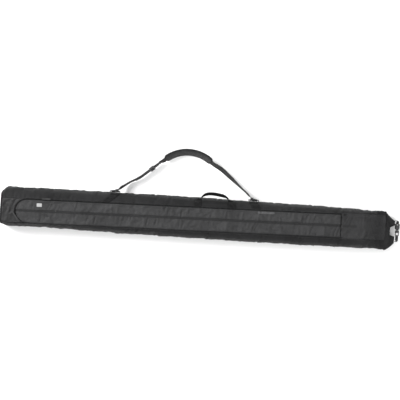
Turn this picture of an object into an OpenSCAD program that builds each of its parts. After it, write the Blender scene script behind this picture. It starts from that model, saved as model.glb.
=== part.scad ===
// Padded ski bag lying on its back: sewn shell, zipped front flap with a D-shaped tail end,
// carry handle, shoulder strap with a sliding pad, and a rolled, buckled mouth.
// X runs from the tail to the roll, Y towards the shoulder strap, Z out of the front.

/* [Bag] */
// Distance from the centre to the tail
tail_len = 925; // [900:5:950]
// Distance from the centre to the start of the roll
tip_len = 846; // [840:2:850]
// Width across the belly
belly_w = 190; // [184:1:196]
// Width at the tail
tail_w = 174; // [170:1:178]
// Thickness from back to front
bag_h = 106; // [100:1:112]
// Width of the front panel between its two long seams
panel_w = 108; // [104:1:110]
// Height of the front panel's lower seam line across the bag, at the centre
hinge_y = -58; // [-60:1:-56]
// Angle of the front seams to the bag's length
seam_tilt = 1; // [0.8:0.1:1.2]
// Thickness of the outer fabric with its backing
fabric_t = 1.6; // [1.2:0.1:1.8]
// Thickness of the foam
foam_t = 5; // [4:0.5:5.5]
// Radius of the rounded tail corner
corner_r = 37; // [30:1:40]

/* [Flap] */
// Where the straight part of the flap begins, at the middle of the D-shaped end
flap_start = -800; // [-810:1:-790]
// Where the flap ends near the mouth
flap_end = 640; // [600:5:645]
// Width of the recessed strip down the middle
strip_w = 12; // [10:1:14]
// Height of the strip's middle across the bag
strip_y = -3; // [-5:1:0]

/* [Mouth] */
// Where the shell starts to flatten towards the mouth
taper_start = 745; // [730:5:760]
// Lowest and highest level of the flattened mouth
slit_base = 22; // [20:1:26]
slit_top = 50; // [46:1:54]

/* [Webbing] */
// Width of the strap webbing
web_w = 38; // [36:1:40]
// Thickness of the strap webbing
web_t = 1.8; // [1.4:0.1:2]
// Width of the shoulder pad
pad_w = 58; // [54:1:60]
// Radius of the curve that the shoulder pad lies in
pad_r = 163; // [160:1:166]
// Thickness of the shoulder pad
pad_t = 10.4; // [9:0.2:11]

/* [Buckle] */
// Width of the side-release buckle
buckle_w = 25; // [24:0.5:26]
// Tilt of the buckle about its length
buckle_tilt = 45; // [35:1:50]

/* [Hidden] */
$fn = 48;

end_t = 6;                            // the end panel's depth
body_start = 0.3 + end_t - tail_len;  // where the long panels start
corner_end = -870;                    // the tail corners are curved up to here
foam_start = mix(body_start, corner_end, 0.2);
seam_gap = 3;                         // fabric edges stop this far from a seam line
seam_lap = 1.5;                       // the front panels reach this far past a seam line
zip_y = hinge_y + panel_w;
flap_y = hinge_y + panel_w / 2;       // middle of the flap, in the tilted seam frame
flap_r = panel_w / 2;
mid_z = bag_h - 1;                    // level of the seams and of the flap's fold line
foam_gap = 0.3;
web_gap = 0.2;

// Shoulder strap: the bar that each end turns on
bar_y = 99.5;
bar_z = 58;
bar_r = 2.2;
ring_y = 91.1;                        // where each ring's inner bar lies
ring_z = 80.6;
ring_l = norm([bar_y - ring_y, bar_z - ring_z]);
ring_a = atan2(bar_z - ring_z, bar_y - ring_y);
left_x = -404;
right_x = 236;
pad_c = [-76, 138];                   // centre of the pad's curve
pad_z = 28.5;
pad_tilt = 64;
pad_span = 39.6;                      // half the angle that the pad covers
pad_play = 5;                         // extra curve at each end for the pad to slide on

// Triglide: where it sits and how the strap runs there
glide_p = [-242, 214.8, 24.5];
glide_a = 40.15;
glide_tilt = 76;

// Handle: its two ends turn about this line
grip_y = 96;
grip_z = 84;

buckle_x = 907;
buckle_z = 36;
tab_t = 1.8;

function mix(a, b, t) = a + (b - a) * t;
function ease(t) = t * t * (3 - 2 * t);
function taper(x) = x < taper_start ? 0 : ease(min(1, (x - taper_start) / (tip_len - taper_start)));
function top_z(x) = mix(bag_h, slit_top, taper(x));
function base_z(x) = mix(0, slit_base, taper(x));
function half_w(x) = mix(tail_w, belly_w, 1 - pow(x / tail_len, 2)) / 2;
function corner_in(x) = let(d = min(corner_r - 3, max(0, corner_r - tail_len - x)))
    corner_r - sqrt(corner_r * corner_r - d * d);
function upper_w(x) = half_w(x) - corner_in(x);
function lower_w(x) = half_w(x) - 7 * max(0, 30 - tail_len - x) / 30;
function seam(y0, x) = y0 + x * tan(seam_tilt);

// The bag's cross-section at x, from the lower seam round the back to the upper seam
function section(x) =
    let(a = lower_w(x), b = upper_w(x), h = top_z(x), z0 = base_z(x), d = h - z0,
        l = seam(hinge_y, x), u = seam(zip_y, x))
    [[l - seam_gap, h - 0.9], [mix(l, -a, 0.55), z0 + 0.92 * d], [mix(l, -a, 0.87), z0 + 0.74 * d],
     [-a, z0 + 0.45 * d], [-0.97 * a, z0 + 0.2 * d], [-0.86 * a, z0 + 0.05 * d], [-0.66 * a, z0],
     [-0.33 * a, z0], [0, z0], [0.33 * b, z0], [0.66 * b, z0],
     [0.86 * b, z0 + 0.05 * d], [0.97 * b, z0 + 0.2 * d], [b, z0 + 0.45 * d],
     [mix(u, b, 0.87), z0 + 0.74 * d], [mix(u, b, 0.55), z0 + 0.92 * d], [u + seam_gap, h - 0.9]];
SEAM_LOW = 0;
SEAM_BACK_LOW = 6;
SEAM_BACK_HIGH = 10;
SEAM_HIGH = 16;

// A point of the shell at x, at place i of the section and depth d below the outer face
function inward(s, i, d) =
    let(a = s[max(0, i - 1)], b = s[min(len(s) - 1, i + 1)], t = (b - a) / norm(b - a))
    s[i] + d * [-t[1], t[0]];
function shell_point(x, i, d) =
    let(s = section(x), k = floor(i), f = i - k, p = inward(s, k, d),
        q = inward(s, min(k + 1, len(s) - 1), d), r = mix(p, q, f))
    [x, r[0], r[1]];

// A closed solid through rings of points, each counter-clockwise about the way it runs
module loft(rings) {
    n = len(rings[0]);
    m = len(rings);
    polyhedron(
        points = [for (r = rings) each r],
        faces = concat(
            [[for (k = [0:n - 1]) k]],
            [for (i = [0:m - 2], k = [0:n - 1]) let(j = (k + 1) % n)
                each [[i * n + k, (i + 1) * n + k, i * n + j], [(i + 1) * n + k, (i + 1) * n + j, i * n + j]]],
            [[for (k = [n - 1:-1:0]) (m - 1) * n + k]]),
        convexity = 8);
}

function steps(a, b, pitch) = let(n = ceil((b - a) / pitch)) [for (i = [0:n]) mix(a, b, i / n)];
function stations(a, b) = concat(
    [for (x = steps(a, min(b, corner_end), 12)) x],
    [for (x = steps(-800, min(b, 740), 110)) x],
    b > 750 ? [for (x = steps(760, b, 15)) x] : []);

// A strip of the shell between two places of the section and two depths
module skin(xs, i0, i1, d0, d1) {
    loft([for (x = xs) concat(
        [for (i = [i0:i1]) shell_point(x, i, d0)],
        [for (i = [i1:-1:i0]) shell_point(x, i, d1)])]);
}

// A tab sewn on the shell: each row is [place, x from, x to, lift of its under face, of its top]
module sewn_tab(rows) {
    loft([for (r = rows) [shell_point(r[1], r[0], -r[3]), shell_point(r[2], r[0], -r[3]),
        shell_point(r[2], r[0], -r[4]), shell_point(r[1], r[0], -r[4])]]);
}

// Flat webbing along a route: each point is [x, y, z, tilt, width from, width to]
function along(r, i) =
    let(a = r[max(0, i - 1)], b = r[min(len(r) - 1, i + 1)], v = [b[0] - a[0], b[1] - a[1], b[2] - a[2]])
    v / norm(v);
function web_ring(r, i, t0, t1) =
    let(t = along(r, i), n = [-t[1], t[0], 0] / norm([t[0], t[1]]), up = cross(t, n),
        w = cos(r[i][3]) * n + sin(r[i][3]) * up, k = cos(r[i][3]) * up - sin(r[i][3]) * n,
        p = [r[i][0], r[i][1], r[i][2]])
    [p + r[i][4] * w + t0 * k, p + r[i][5] * w + t0 * k, p + r[i][5] * w + t1 * k, p + r[i][4] * w + t1 * k];
module webbing(route, t0, t1) {
    loft([for (i = [0:len(route) - 1]) web_ring(route, i, t0, t1)]);
}

// ---- Sewn shell ----

module back_panel() {
    color([0.20, 0.20, 0.21])
        skin(stations(body_start, tip_len), SEAM_BACK_LOW, SEAM_BACK_HIGH, 0, fabric_t);
}

module upper_gusset() {
    color([0.17, 0.17, 0.18])
        skin(stations(body_start, tip_len), SEAM_BACK_HIGH, SEAM_HIGH, 0, fabric_t);
}

module lower_gusset() {
    color([0.17, 0.17, 0.18])
        skin(stations(body_start, tip_len), SEAM_LOW, SEAM_BACK_LOW, 0, fabric_t);
}

module end_panel() {
    edge = section(body_start);
    mid = [-3, bag_h / 2];
    color([0.22, 0.22, 0.23])
        loft([for (s = [[-tail_len, 0.95], [1.5 - tail_len, 0.98], [end_t - tail_len, 1]])
            [for (p = edge) let(q = mix(mid, p, s[1])) [s[0], q[0], q[1]]]]);
}

module end_foam() {
    edge = section(body_start);
    color([0.45, 0.45, 0.45])
        loft([for (x = [body_start, body_start + foam_t])
            [for (i = [1:len(edge) - 2]) shell_point(x, i, fabric_t + foam_t + 3)]]);
}

module in_seam_frame() {
    rotate([0, 0, seam_tilt])
        children();
}

module d_outline(r) {
    translate([flap_start, flap_y])
        circle(r, $fn = 96);
    translate([flap_start, flap_y - r])
        square([flap_end - flap_start, 2 * r]);
}

module tail_panel() {
    panel_end = flap_start - 6;
    panel_start = 2.3 + body_start;
    color([0.22, 0.22, 0.23])
        in_seam_frame()
            translate([0, 0, bag_h - fabric_t])
                linear_extrude(fabric_t)
                    difference() {
                        translate([panel_start, hinge_y - seam_lap])
                            square([panel_end - panel_start, panel_w + 2 * seam_lap]);
                        d_outline(flap_r + seam_gap);
                    }
}

module tip_panel() {
    color([0.22, 0.22, 0.23])
        loft([for (x = concat([flap_end + 3, 700], steps(760, tip_len, 15)))
            let(u = seam(zip_y, x), l = seam(hinge_y, x), h = top_z(x),
                low = l + seam_gap * (1 - taper(x)))
            [[x, u + seam_lap, h - 0.5], [x, u, h], [x, (u + l) / 2, h], [x, low, h],
             [x, low, h - fabric_t], [x, (u + l) / 2, h - fabric_t], [x, u, h - fabric_t],
             [x, u + seam_lap, h - fabric_t - 0.5]]]);
}

module tip_strip() {
    color([0.12, 0.12, 0.13])
        in_seam_frame()
            translate([flap_end + 6, strip_y - strip_w / 2, bag_h + 0.1])
                cube([taper_start - flap_end - 34, strip_w, 0.8]);
}

// A flat sheet over the back, reaching out to a share of the half width
module back_sheet(share, z, t) {
    xs = stations(foam_start, 740);
    translate([0, 0, z])
        linear_extrude(t)
            polygon(concat([for (x = xs) [x, -share * lower_w(x)]],
                [for (i = [len(xs) - 1:-1:0]) [xs[i], share * upper_w(xs[i])]]));
}

module back_foam() {
    color([0.45, 0.45, 0.45])
        back_sheet(0.6, fabric_t + foam_gap, foam_t);
}

module upper_foam() {
    color([0.45, 0.45, 0.45])
        skin(stations(foam_start, 740), SEAM_BACK_HIGH, SEAM_HIGH - 1,
            fabric_t + foam_gap, fabric_t + foam_gap + foam_t);
}

module lower_foam() {
    color([0.45, 0.45, 0.45])
        skin(stations(foam_start, 740), SEAM_LOW + 1, SEAM_BACK_LOW,
            fabric_t + foam_gap, fabric_t + foam_gap + foam_t);
}

// The lining lies inside the foam as three cut panels
lining_d = fabric_t + 2 * foam_gap + foam_t;

module lining_lower() {
    color([0.30, 0.30, 0.31])
        skin(stations(foam_start, 740), SEAM_LOW + 1, SEAM_BACK_LOW, lining_d, lining_d + fabric_t);
}

module lining_back() {
    color([0.30, 0.30, 0.31])
        back_sheet(0.62, lining_d, fabric_t);
}

module lining_upper() {
    color([0.30, 0.30, 0.31])
        skin(stations(foam_start, 740), SEAM_BACK_HIGH, SEAM_HIGH - 1, lining_d, lining_d + fabric_t);
}

module lower_piping() {
    bead_r = 1.7;
    color([0.10, 0.10, 0.11])
        in_seam_frame()
            translate([flap_start, hinge_y, mid_z])
                rotate([0, 90, 0])
                    cylinder(h = taper_start - flap_start, r = bead_r);
}

// ---- Zip ----

zip_last = 241;                       // angle round the D at which the zip ends

module zip_reach() {
    c = [flap_start, flap_y];
    far = 2 * flap_r;
    polygon([c, c + far * [cos(zip_last), sin(zip_last)], c + [-far, -far], c + [-far, far],
        [flap_end + 1, flap_y + far], [flap_end + 1, flap_y]]);
}

module zip_band(r0, r1, z0, z1) {
    in_seam_frame()
        translate([0, 0, z0])
            linear_extrude(z1 - z0)
                intersection() {
                    difference() {
                        d_outline(r1);
                        d_outline(r0);
                    }
                    zip_reach();
                }
}

tape_z = bag_h - 4.3;
coil_z = tape_z + 0.6;
coil_top = bag_h - 1;
coil_w = 2.2;
coil_gap = 0.2;

module zip_tape_bag() {
    color([0.09, 0.09, 0.10])
        zip_band(flap_r + 1, flap_r + 4.5, tape_z, coil_z);
}

module zip_coil_bag() {
    color([0.07, 0.07, 0.07])
        zip_band(flap_r + coil_gap, flap_r + coil_gap + coil_w, coil_z, coil_top);
}

module zip_tape_flap() {
    color([0.09, 0.09, 0.10])
        zip_band(flap_r - 13, flap_r - 1, tape_z, coil_z);
}

module zip_coil_flap() {
    color([0.07, 0.07, 0.07])
        zip_band(flap_r - coil_gap - coil_w, flap_r - coil_gap, coil_z, coil_top);
}

module zip_end_tab() {
    color([0.12, 0.12, 0.13])
        in_seam_frame()
            translate([flap_end + 4, zip_y - 8, bag_h + 0.1])
                cube([22, 10, 0.9]);
}

slider_l = 16;
slider_w = 8.5;
slider_base = bag_h + 0.4;

// Slider body with the low bridge that holds its pull, running along +X from the origin
module slider_body() {
    cube([slider_l, slider_w, 1.6]);
    translate([4.2, slider_w / 2 - 1, 1.5])
        difference() {
            cube([6.6, 2, 3]);
            translate([1.5, -1, -1])
                cube([3.6, 4, 3]);
        }
}

main_x = -734;
main_p = [main_x, zip_y + 0.4, slider_base];
pull_pivot = 7.5;

module main_slider() {
    color([0.10, 0.10, 0.10])
        in_seam_frame()
            translate(main_p)
                slider_body();
}

// A pull: a ring end round the slider's bridge and a grip tab, running along +X
module pull_tab(length, width) {
    rod_r = 0.8;
    arm = 1.2;
    arm_l = 9;
    reach = 3.2;
    translate([0, -reach, 0])
        rotate([-90, 0, 0])
            cylinder(h = 2 * reach, r = rod_r);
    for (y = [-reach, reach - arm])
        translate([0, y, -rod_r])
            cube([arm_l, arm, 2 * rod_r]);
    translate([arm_l - 0.5, -width / 2, -rod_r])
        cube([length - arm_l, width, 2 * rod_r]);
}

module main_pull() {
    color([0.08, 0.08, 0.08])
        in_seam_frame()
            translate(main_p + [pull_pivot, slider_w / 2, 2.6])
                pull_tab(32, 7.2);
}

corner_a = 230;                       // angle round the D of the corner slider at rest
corner_skew = 13;                     // turn of its pull towards the D
corner_reach = flap_r + 0.4;

// Frame with its origin under the corner slider's pivot and +X along the zip
module in_corner_frame() {
    in_seam_frame()
        translate([flap_start, flap_y, 0])
            rotate([0, 0, corner_a - 90])
                translate([0, corner_reach, slider_base])
                    children();
}

module corner_slider() {
    color([0.10, 0.10, 0.10])
        in_corner_frame()
            translate([-pull_pivot, 0, 0])
                slider_body();
}

module corner_pull() {
    color([0.08, 0.08, 0.08])
        in_corner_frame()
            translate([0, slider_w / 2, 2.6])
                rotate([0, 0, -corner_skew])
                    pull_tab(50, 6);
}

// ---- Flap ----

module flap_sheet(r, z0, z1, y0, y1) {
    in_seam_frame()
        translate([0, 0, z0])
            linear_extrude(z1 - z0)
                intersection() {
                    d_outline(r);
                    translate([flap_start - 2 * flap_r, y0])
                        square([flap_end - flap_start + 2 * flap_r, y1 - y0]);
                }
}

module flap_upper_band() {
    color([0.25, 0.25, 0.26])
        flap_sheet(flap_r - seam_gap, bag_h - fabric_t, bag_h, strip_y + strip_w / 2, zip_y);
}

module flap_lower_band() {
    color([0.25, 0.25, 0.26])
        flap_sheet(flap_r - seam_gap, bag_h - fabric_t, bag_h, hinge_y, strip_y - strip_w / 2);
}

module flap_strip() {
    color([0.12, 0.12, 0.13])
        flap_sheet(flap_r - 20, bag_h - fabric_t, bag_h - 0.6, strip_y - strip_w / 2 + 0.1,
            strip_y + strip_w / 2 - 0.1);
}

module flap_foam() {
    top = bag_h - fabric_t - 0.2;
    color([0.45, 0.45, 0.45])
        flap_sheet(flap_r - 14, top - foam_t - 1, top, hinge_y, zip_y);
}

module flap_lining() {
    top = bag_h - fabric_t - foam_t - 1.4;
    color([0.30, 0.30, 0.31])
        flap_sheet(flap_r - 14, top - 0.8, top, hinge_y, zip_y);
}

module badge() {
    color([0.80, 0.80, 0.80])
        in_seam_frame()
            translate([-757, 17, bag_h + 0.1])
                cube([25, 16, 0.8]);
}

module label_tab() {
    color([0.30, 0.30, 0.30])
        in_seam_frame()
            translate([257, 34, bag_h + 0.1])
                cube([80, 10, 0.6]);
}

// ---- Mouth: roll, stiffener and buckle ----

module roll_top() {
    back = tip_len + 0.5;
    bar = 874;
    arm = 894.5;
    depth = slit_top - slit_base - 1;
    color([0.24, 0.24, 0.25])
        difference() {
            translate([0, 0, slit_base + 0.5])
                linear_extrude(depth)
                    polygon([[back, -88], [856, -88], [arm, -60], [arm, -24], [bar, -19], [bar, 15],
                        [arm, 23], [arm, 46], [860, 72], [back, 84]]);
            translate([859.7, -55.3, 26.7])
                cube([3.6, 105.6, 18.6]);
        }
}

module roll_stiffener() {
    color([0.35, 0.35, 0.36])
        translate([860, -55, 27])
            cube([3, 105, 18]);
}

module in_buckle_frame() {
    translate([buckle_x, 0, buckle_z])
        rotate([0, buckle_tilt, 0])
            children();
}

fem_start = 8;                        // where the socket begins along Y
fem_l = 25;
wall = 2.2;
shell_t = 8;

module buckle_female() {
    cavity_w = buckle_w - 2 * wall;
    cavity_t = 4.6;
    color([0.05, 0.05, 0.05])
        in_buckle_frame()
            difference() {
                translate([-buckle_w / 2, fem_start, -shell_t / 2])
                    cube([buckle_w, fem_l, shell_t]);
                translate([-cavity_w / 2, fem_start - 1, -cavity_t / 2])
                    cube([cavity_w, 17, cavity_t]);
                translate([-buckle_w, fem_start + 5, -1.8])
                    cube([2 * buckle_w, 8, 3.6]);
                translate([-cavity_w / 2, fem_start + 19.5, -shell_t])
                    cube([cavity_w, 3, 2 * shell_t]);
            }
}

module buckle_male() {
    side = 12;
    base_end = 2.5;
    color([0.05, 0.05, 0.05])
        in_buckle_frame() {
            translate([-side, -9, -2.8])
                cube([2 * side, 9 + base_end, 5.6]);
            for (x = [-side, side - 2])
                translate([x, -21.5, -2])
                    cube([2, 13, 4]);
            translate([-side, -21.5, -2])
                cube([2 * side, 3.5, 4]);
            translate([-2, base_end - 0.5, -1.6])
                cube([4, 20, 3.2]);
        }
}

prong_root = 3.2;
prong_x = 5.5;
prong_w = 4.4;

module prong() {
    in_buckle_frame()
        translate([prong_x, prong_root, -1.7])
            cube([prong_w, 18, 3.4]);
}

module buckle_prong_a() {
    color([0.06, 0.06, 0.06])
        prong();
}

module buckle_prong_b() {
    color([0.06, 0.06, 0.06])
        in_buckle_frame()
            translate([-prong_x - prong_w, prong_root, -1.7])
                cube([prong_w, 18, 3.4]);
}

// Short webbing between an arm of the roll and the buckle
module web_tab(y0, y1, y_sewn) {
    color([0.13, 0.13, 0.14]) {
        in_buckle_frame()
            translate([-10, y0, -0.8])
                cube([20, y1 - y0, 1.6]);
        translate([894.7, y_sewn, buckle_z - 5])
            cube([buckle_x - 894.7, 4, 10]);
    }
}

module web_tab_upper() {
    web_tab(33.3, 46, 42);
}

module web_tab_lower() {
    web_tab(-48, -21.8, -48);
}

// ---- Shoulder strap ----

module anchor_tab_left() {
    color([0.14, 0.14, 0.15])
        sewn_tab([[14.15, -423, -385, web_gap, web_gap + tab_t], [15, -438, -402, web_gap, web_gap + tab_t],
            [15.9, -469, -433, web_gap, web_gap + tab_t]]);
}

module anchor_tab_right() {
    color([0.14, 0.14, 0.15])
        sewn_tab([[14.15, 218, 256, web_gap, web_gap + tab_t], [15, 224, 262, web_gap, web_gap + tab_t],
            [15.7, 230, 268, web_gap, web_gap + tab_t]]);
}

// Rectangular ring: the inner bar is sewn in, and the strap turns on the round outer bar
module anchor_ring(x) {
    side = 4;
    inside_w = web_w + 2;
    color([0.05, 0.05, 0.05])
        translate([x, ring_y, ring_z])
            rotate([ring_a, 0, 0]) {
                translate([-inside_w / 2 - side, 0, -side / 2])
                    cube([inside_w + 2 * side, side, side]);
                for (s = [-inside_w / 2 - side, inside_w / 2])
                    translate([s, 0, -side / 2])
                        cube([side, ring_l + side / 2 + 0.6, side]);
                translate([-inside_w / 2 - 1, ring_l, 0])
                    rotate([0, 90, 0])
                        cylinder(h = inside_w + 2, r = bar_r);
            }
}

module anchor_ring_left() {
    anchor_ring(left_x);
}

module anchor_ring_right() {
    anchor_ring(right_x);
}

// End loop round a bar, with the sewn link that reaches link_l from the bar to the strap
module strap_loop(x, link_l) {
    loop_w = web_w - 4;
    loop_r = bar_r + 0.5 + web_t;
    link_w = 16;
    link_a = -50;
    color([0.13, 0.13, 0.14]) {
        translate([x - loop_w / 2, bar_y, bar_z])
            rotate([0, 90, 0])
                difference() {
                    cylinder(h = loop_w, r = loop_r);
                    translate([0, 0, -1])
                        cylinder(h = loop_w + 2, r = bar_r + 0.5);
                }
        translate([x - link_w / 2, bar_y, bar_z])
            rotate([link_a, 0, 0])
                translate([0, loop_r - 0.5, -web_t / 2])
                    cube([link_w, link_l - loop_r + 0.5, web_t]);
    }
}

module strap_loop_left() {
    strap_loop(left_x, 7.6);
}

module strap_loop_right() {
    strap_loop(right_x, 9.7);
}

// The strap's route: places and tilts chosen as it lies beside the bag
hw = web_w / 2;
STRAP_LEFT = [[-398, 105, 51, 52], [-383, 115, 39, 62], [-365, 127, 28, 74], [-340, 145, 21.5, 78],
    [-313, 160, 23, 77], [-288, 176, 24.5, 76], [-206, 245.2, 24.5, 76]];
STRAP_RIGHT = [[80, 231, 22, 60], [120, 199, 19, 64], [165, 161, 19.5, 76], [191, 139, 22, 80],
    [212, 121, 36, 72], [229, 107, 50, 58]];
function pad_arc(span, count) = [for (i = [0:count])
    let(a = 90 + span - 2 * span * i / count)
    [pad_c[0] + pad_r * cos(a), pad_c[1] + pad_r * sin(a), pad_z, pad_tilt]];
function with_width(route, w0, w1) = [for (p = route) [p[0], p[1], p[2], p[3], w0, w1]];

// The webbing is gathered where it reaches its loops
function gathered(route) = let(n = len(route) - 1)
    [for (i = [0:n]) let(e = min(i, n - i), w = e == 0 ? 11 : e == 1 ? 16 : hw)
        [route[i][0], route[i][1], route[i][2], route[i][3], -w, w]];

module strap_web() {
    color([0.14, 0.14, 0.15])
        webbing(gathered(concat(STRAP_LEFT, pad_arc(pad_span + pad_play, 16), STRAP_RIGHT)), -web_t / 2, web_t / 2);
}

module strap_tail() {
    tail = [[-313, 160, 23, 77], [-288, 176, 24.5, 76], [-214, 238.4, 24.5, 76]];
    color([0.14, 0.14, 0.15])
        webbing(with_width(tail, -hw, hw), web_t / 2 + 0.2, 1.5 * web_t + 0.2);
}

// Three bars between two side plates; the strap and its tail run between them
module triglide() {
    reach = 25;
    side = 3.5;
    deep = 8.6;
    shift = 0.9;
    color([0.05, 0.05, 0.05])
        translate(glide_p)
            rotate([0, 0, glide_a])
                rotate([glide_tilt, 0, 0])
                    translate([-reach / 2, 0, shift]) {
                        for (y = [-hw - side - 0.7, hw + 0.7])
                            translate([0, y, -deep / 2])
                                cube([reach, side, deep]);
                        for (x = [0, reach - 5])
                            translate([x, -hw - 1, deep / 2 - 2.2])
                                cube([5, web_w + 2, 2.2]);
                        translate([reach / 2 - 3, -hw - 1, -deep / 2])
                            cube([6, web_w + 2, 2.2]);
                    }
}

// How far the pad reaches to each side at step i of n: its ends are rounded in
function pad_half(i, n) =
    let(e = min(i, n - i)) e == 0 ? pad_w / 2 - 7 : e == 1 ? pad_w / 2 - 2 : pad_w / 2;
function pad_route(w0, w1) = let(n = 20, arc = pad_arc(pad_span, n))
    [for (i = [0:n]) let(p = arc[i], w = pad_half(i, n))
        [p[0], p[1], p[2], p[3], w0 == 0 ? -w : w0 < 0 ? -w : w0, w1 == 0 ? w : w1 > 0 ? w : w1]];
channel = 1.6;                        // half the thickness of the channel for the webbing

module pad_face() {
    color([0.16, 0.16, 0.17])
        webbing(pad_route(0, 0), -pad_t / 2, -channel);
}

module pad_back() {
    color([0.13, 0.13, 0.14])
        webbing(pad_route(0, 0), channel, pad_t / 2);
}

module pad_edges() {
    inner = hw + 0.8;
    color([0.10, 0.10, 0.11]) {
        webbing(pad_route(inner, 0), -channel, channel);
        webbing(pad_route(0, -inner), -channel, channel);
    }
}

// ---- Carry handle ----

module carry_handle() {
    route = [[-4, 96.5, 84, 80, -3, 3], [1, 102, 84, 80, -10, 10], [11, 110, 84, 80, -17, 17],
        [24, 114, 84, 80, -hw, hw], [39, 115.5, 84, 80, -hw, hw], [56, 115, 84, 80, -hw, hw],
        [73, 113, 84, 80, -hw, hw], [92, 110, 84, 80, -hw, hw], [104, 106, 84, 80, -17, 17],
        [113, 101.5, 84, 80, -10, 10], [118, 96.5, 84, 80, -3, 3]];
    color([0.14, 0.14, 0.15])
        webbing(route, -1.6, 1.6);
}

module handle_foot_left() {
    color([0.14, 0.14, 0.15])
        sewn_tab([[14.3, -24, -6, 8, 10], [14.45, -32, -6, web_gap, web_gap + tab_t],
            [15, -36, -4, web_gap, web_gap + tab_t], [15.8, -37, -3, web_gap, web_gap + tab_t]]);
}

module handle_foot_right() {
    color([0.14, 0.14, 0.15])
        sewn_tab([[14.3, 120, 138, 8, 10], [14.45, 120, 148, web_gap, web_gap + tab_t],
            [15, 118, 155, web_gap, web_gap + tab_t], [15.8, 118, 156, web_gap, web_gap + tab_t]]);
}

back_panel();
upper_gusset();
lower_gusset();
end_panel();
tail_panel();
tip_panel();
back_foam();
upper_foam();
lower_foam();
end_foam();
lining_lower();
lining_back();
lining_upper();
lower_piping();
tip_strip();
zip_tape_bag();
zip_coil_bag();
zip_end_tab();
roll_top();
roll_stiffener();
anchor_tab_left();
anchor_ring_left();
anchor_tab_right();
anchor_ring_right();
handle_foot_left();
handle_foot_right();
web_tab_upper();
web_tab_lower();
buckle_female();
flap_upper_band();
flap_lower_band();
flap_strip();
flap_foam();
flap_lining();
zip_tape_flap();
zip_coil_flap();
badge();
label_tab();
main_slider();
main_pull();
corner_slider();
corner_pull();
strap_web();
strap_tail();
strap_loop_left();
strap_loop_right();
triglide();
pad_face();
pad_back();
pad_edges();
carry_handle();
buckle_male();
buckle_prong_a();
buckle_prong_b();
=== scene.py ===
"""Padded ski bag lying on its back, built round its CAD frame. Lengths are in metres, as in the frame."""
import math
from functools import lru_cache

import bmesh
import bpy
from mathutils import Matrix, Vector, noise


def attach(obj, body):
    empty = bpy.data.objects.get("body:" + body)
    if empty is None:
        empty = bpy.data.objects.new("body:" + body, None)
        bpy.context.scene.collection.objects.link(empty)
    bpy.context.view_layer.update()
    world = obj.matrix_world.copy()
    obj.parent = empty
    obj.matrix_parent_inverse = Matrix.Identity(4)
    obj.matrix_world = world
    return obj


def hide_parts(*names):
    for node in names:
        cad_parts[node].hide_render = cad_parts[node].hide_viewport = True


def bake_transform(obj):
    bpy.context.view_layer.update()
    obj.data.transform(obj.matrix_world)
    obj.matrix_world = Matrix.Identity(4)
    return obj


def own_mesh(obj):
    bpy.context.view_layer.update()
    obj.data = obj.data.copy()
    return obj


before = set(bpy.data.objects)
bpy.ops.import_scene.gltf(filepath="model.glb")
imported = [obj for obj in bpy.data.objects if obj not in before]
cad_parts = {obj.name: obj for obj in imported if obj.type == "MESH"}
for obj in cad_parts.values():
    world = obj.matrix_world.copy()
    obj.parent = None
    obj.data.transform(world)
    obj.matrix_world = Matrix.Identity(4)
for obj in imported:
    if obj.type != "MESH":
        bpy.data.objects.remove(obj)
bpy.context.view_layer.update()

MM = 0.001
UP = Vector((0, 0, 1))

# ---- Driving dimensions, in millimetres as in the CAD source ----
TAIL, TIP = 925.0, 846.0
BODY_START = -918.7
BELLY_W, TAIL_W, BAG_H = 190.0, 174.0, 106.0
HINGE_Y, PANEL_W, TILT = -58.0, 108.0, math.radians(1.0)
FLAP_Y, FLAP_R = HINGE_Y + PANEL_W / 2, PANEL_W / 2
FLAP_START, FLAP_END = -800.0, 640.0
STRIP_Y, STRIP_W = -3.0, 12.0
CORNER_R = 37.0
FABRIC_T, SEAM_GAP = 1.6, 3.0
TAPER_START, SLIT_BASE, SLIT_TOP = 745.0, 22.0, 50.0
BUCKLE_X, BUCKLE_Z, BUCKLE_TILT = 907.0, 36.0, math.radians(45.0)
WEB_W, WEB_T = 38.0, 1.8
ZIP_LAST = math.radians(241)           # angle round the D at which the zip ends
FLAP_BEND = "flap bending into the bag"


def mix(a, b, t):
    return a + (b - a) * t


def clamp(v, lo=0.0, hi=1.0):
    return max(lo, min(hi, v))


def ease(t):
    t = clamp(t)
    return t * t * (3 - 2 * t)


def add_object(name, data):
    ob = bpy.data.objects.new(name, data)
    bpy.context.scene.collection.objects.link(ob)
    return ob


def span(a, b, step):
    """Evenly spaced values from a to b, at most step apart."""
    n = max(1, math.ceil(abs(b - a) / step))
    return [mix(a, b, i / n) for i in range(n + 1)]


def ring_faces(rings, ring, base=0, caps=True):
    """Faces of a tube made of rings with the same number of points."""
    faces = [(base + i * ring + j, base + i * ring + (j + 1) % ring,
              base + (i + 1) * ring + (j + 1) % ring, base + (i + 1) * ring + j)
             for i in range(rings - 1) for j in range(ring)]
    if caps:
        faces.append(tuple(base + j for j in range(ring - 1, -1, -1)))
        faces.append(tuple(base + (rings - 1) * ring + j for j in range(ring)))
    return faces


# ---- The shell's form ----
# Places round the section: the lower seam, the back's two edges, the upper seam, and the lower seam again
LOW, BACK_LOW, BACK_HIGH, HIGH, FRONT_END = 0, 6, 10, 16, 20
PLACE_MM = 22                          # about the girth from one place to the next


def taper(x):
    return ease((x - TAPER_START) / (TIP - TAPER_START))


def half_width(x):
    return mix(TAIL_W, BELLY_W, 1 - (x / TAIL) ** 2) / 2


def upper_width(x):
    d = min(CORNER_R - 3, max(0.0, CORNER_R - TAIL - x))
    return half_width(x) - (CORNER_R - math.sqrt(CORNER_R ** 2 - d * d))


def lower_width(x):
    return half_width(x) - 7 * max(0.0, 30 - TAIL - x) / 30


def seam(y0, x):
    return y0 + x * math.tan(TILT)


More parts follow.
